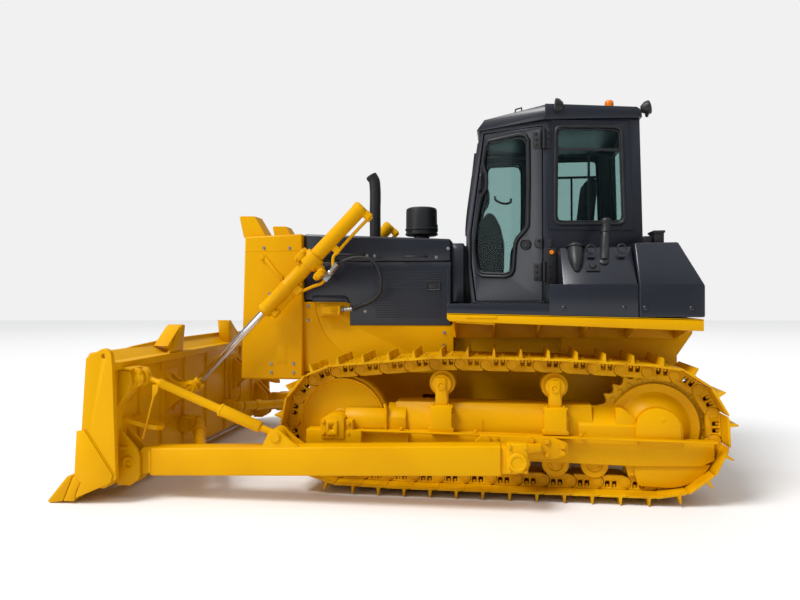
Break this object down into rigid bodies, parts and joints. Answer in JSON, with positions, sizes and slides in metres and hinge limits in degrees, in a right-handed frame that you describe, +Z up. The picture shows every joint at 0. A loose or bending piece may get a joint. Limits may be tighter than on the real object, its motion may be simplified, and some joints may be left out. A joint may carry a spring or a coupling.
{
  "type": "bulldozer",
  "caption": "Track-type bulldozer with a straight blade on push arms, lift cylinders, a closed cab with two hinged doors, and fixed track loops.",
  "frame": {"origin": "on the ground, at the centre of the machine's overall box", "axes": "+X forward over the blade, +Y to the machine's left, +Z up"},
  "size_m": [5.1156, 3.388, 3.2],
  "materials": {
    "machine_yellow": "semi-gloss machine yellow paint",
    "slate_paint": "satin dark slate paint",
    "track_steel": "painted track chain and shoes, lightly worn",
    "engine_iron": "rough casting",
    "chrome_rod": "polished hard chrome",
    "exhaust_black": "heat-proof matt black",
    "black_plastic": "moulded, fine grain",
    "cab_glass": "lightly tinted safety glass",
    "seat_cloth": "black woven seat cloth",
    "hose_rubber": "smooth hydraulic hose",
    "lamp_glass": "clear ribbed lens",
    "beacon_amber": "amber beacon lens",
    "bare_steel": "bare fasteners and fittings"
  },
  "bodies": {
    "machine": {"cab_frame": "slate_paint", "cab_roof": "slate_paint", "dashboard": "black_plastic", "engine_block": "engine_iron", "equalizer_bar": "machine_yellow", "exhaust_pipe": "exhaust_black", "fuel_tank": "slate_paint", "grille": "slate_paint", "hood": "slate_paint", "left_console": "slate_paint", "left_fender": "machine_yellow", "left_final_drive": "machine_yellow", "left_hood_panel": "slate_paint", "left_idler": "machine_yellow", "left_lift_hose": "hose_rubber", "left_side_glass": "cab_glass", "left_sprocket": "track_steel", "left_track": "track_steel", "left_track_frame": "machine_yellow", "left_track_rollers": "machine_yellow", "main_frame": "machine_yellow", "platform": "slate_paint", "pre_cleaner": "black_plastic", "radiator_guard": "machine_yellow", "rear_glass": "cab_glass", "right_console": "slate_paint", "right_fender": "machine_yellow", "right_final_drive": "machine_yellow", "right_hood_panel": "slate_paint", "right_idler": "machine_yellow", "right_lift_hose": "hose_rubber", "right_side_glass": "cab_glass", "right_sprocket": "track_steel", "right_track": "track_steel", "right_track_frame": "machine_yellow", "right_track_rollers": "machine_yellow", "seat_back": "seat_cloth", "seat_base": "black_plastic", "seat_cushion": "seat_cloth", "windshield": "cab_glass"},
    "push_frame": {"left_push_arm": "machine_yellow", "right_push_arm": "machine_yellow"},
    "blade": {"blade": "machine_yellow", "cutting_edge": "machine_yellow"},
    "left_brace_tube": {"left_brace_tube": "machine_yellow"},
    "left_brace_screw": {"left_brace_screw": "machine_yellow"},
    "tilt_cylinder": {"tilt_cylinder": "machine_yellow"},
    "tilt_rod": {"tilt_rod": "chrome_rod"},
    "left_lift_cylinder": {"left_lift_cylinder": "machine_yellow"},
    "left_lift_rod": {"left_lift_rod": "chrome_rod"},
    "right_lift_cylinder": {"right_lift_cylinder": "machine_yellow"},
    "right_lift_rod": {"right_lift_rod": "chrome_rod"},
    "left_cab_door": {"left_cab_door": "slate_paint", "left_door_glass": "cab_glass"},
    "right_cab_door": {"right_cab_door": "slate_paint", "right_door_glass": "cab_glass"}
  },
  "joints": [
    {"name": "blade_lift", "type": "hinge", "parent": "machine", "child": "push_frame", "pos_m": [-0.9752, 0, 0.38], "axis": [0, -1, 0], "range_deg": [-8.5, 18]},
    {"name": "blade_pitch", "type": "hinge", "parent": "push_frame", "child": "blade", "pos_m": [1.9968, 0, 0.275], "axis": [0, 1, 0], "range_deg": [-4, 4]},
    {"name": "left_lift_swing", "type": "hinge", "parent": "machine", "child": "left_lift_cylinder", "pos_m": [0.7408, 0.745, 1.87], "axis": [0, -1, 0], "range_deg": [-11.01, 23.32]},
    {"name": "left_lift_stroke", "type": "slide", "parent": "left_lift_cylinder", "child": "left_lift_rod", "axis": [0.7019, 0, -0.7122], "range_m": [-0.705, 0.3329]},
    {"name": "right_lift_swing", "type": "hinge", "parent": "machine", "child": "right_lift_cylinder", "pos_m": [0.7408, -0.745, 1.87], "axis": [0, -1, 0], "range_deg": [-11.01, 23.32]},
    {"name": "right_lift_stroke", "type": "slide", "parent": "right_lift_cylinder", "child": "right_lift_rod", "axis": [0.7019, 0, -0.7122], "range_m": [-0.705, 0.3329]},
    {"name": "left_brace_swing", "type": "hinge", "parent": "push_frame", "child": "left_brace_tube", "pos_m": [0.8108, 1.44, 0.506], "axis": [0, 1, 0], "range_deg": [-0.57, 0.57]},
    {"name": "left_brace_stroke", "type": "slide", "parent": "left_brace_tube", "child": "left_brace_screw", "axis": [0.9286, 0, 0.3711], "range_m": [-0.0466, 0.0466]},
    {"name": "tilt_swing", "type": "hinge", "parent": "push_frame", "child": "tilt_cylinder", "pos_m": [0.8108, -1.44, 0.506], "axis": [0, 1, 0], "range_deg": [-0.57, 0.57]},
    {"name": "tilt_stroke", "type": "slide", "parent": "tilt_cylinder", "child": "tilt_rod", "axis": [0.9286, 0, 0.3711], "range_m": [-0.0466, 0.0466]},
    {"name": "left_door_hinge", "type": "hinge", "parent": "machine", "child": "left_cab_door", "pos_m": [-1.2322, 0.712, 2.25], "axis": [0, 0, 1], "range_deg": [0, 100]},
    {"name": "right_door_hinge", "type": "hinge", "parent": "machine", "child": "right_cab_door", "pos_m": [-1.2322, -0.712, 2.25], "axis": [0, 0, -1], "range_deg": [0, 100]}
  ],
  "couplings": [
    {"joint": "left_lift_swing", "follows": "blade_lift", "ratio": 1.27},
    {"joint": "left_lift_stroke", "follows": "blade_lift", "m_per_rad": -2.2},
    {"joint": "right_lift_swing", "follows": "blade_lift", "ratio": 1.27},
    {"joint": "right_lift_stroke", "follows": "blade_lift", "m_per_rad": -2.2},
    {"joint": "left_brace_swing", "follows": "blade_pitch", "ratio": 0.1396},
    {"joint": "left_brace_stroke", "follows": "blade_pitch", "m_per_rad": 0.6547},
    {"joint": "tilt_swing", "follows": "blade_pitch", "ratio": 0.1396},
    {"joint": "tilt_stroke", "follows": "blade_pitch", "m_per_rad": 0.6547}
  ]
}
